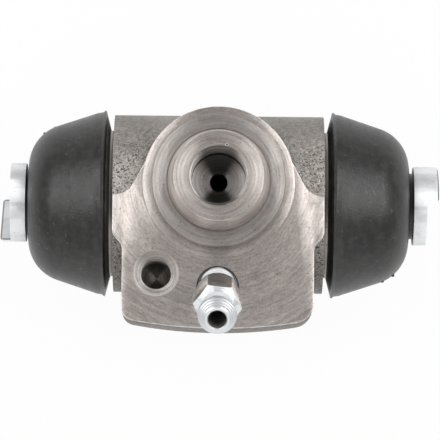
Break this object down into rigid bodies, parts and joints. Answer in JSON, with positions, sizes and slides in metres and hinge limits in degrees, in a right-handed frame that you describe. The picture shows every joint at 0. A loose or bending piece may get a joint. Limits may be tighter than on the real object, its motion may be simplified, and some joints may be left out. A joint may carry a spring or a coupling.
{
  "type": "drum brake wheel cylinder",
  "caption": "Double-acting hydraulic wheel cylinder: cast barrel with a mounting flange, spigot and inlet port, sliding pistons under rubber boots, and a leaning bleed screw.",
  "frame": {"origin": "on the spigot's axis, in the plane of the round mounting land", "axes": "+Z along the spigot, out of the mounting face; +X along the bore; +Y across the face, away from the bleed screw"},
  "size_m": [0.0746, 0.0399, 0.0461],
  "materials": {
    "cast_iron": "bare grey casting, mounting face and spigot turned",
    "zinc_plate": "bright zinc plate on turned steel",
    "boot_rubber": "matt moulded rubber",
    "seal_rubber": "smooth moulded rubber",
    "spring_steel": "bare spring steel"
  },
  "bodies": {
    "cylinder": {"cylinder_body": "cast_iron", "return_spring": "spring_steel", "left_dust_boot": "boot_rubber", "right_dust_boot": "boot_rubber"},
    "bleeder": {"bleed_screw": "zinc_plate"},
    "left_piston_set": {"left_piston": "zinc_plate", "left_cup_seal": "seal_rubber", "left_cup_spreader": "spring_steel"},
    "right_piston_set": {"right_piston": "zinc_plate", "right_cup_seal": "seal_rubber", "right_cup_spreader": "spring_steel"}
  },
  "joints": [
    {"name": "left_piston_slide", "type": "slide", "parent": "cylinder", "child": "left_piston_set", "axis": [-1, 0, 0], "range_m": [-0.0025, 0.005], "stiffness_N_per_m": 1000, "deforming": ["left_dust_boot", "return_spring"]},
    {"name": "right_piston_slide", "type": "slide", "parent": "cylinder", "child": "right_piston_set", "axis": [1, 0, 0], "range_m": [-0.0025, 0.005], "stiffness_N_per_m": 1000, "deforming": ["right_dust_boot", "return_spring"]},
    {"name": "bleed_screw_turn", "type": "hinge", "parent": "cylinder", "child": "bleeder", "pos_m": [0, -0.0176, -0.0001], "axis": [0, -0.4226, 0.9063], "range_deg": [0, 360]}
  ]
}
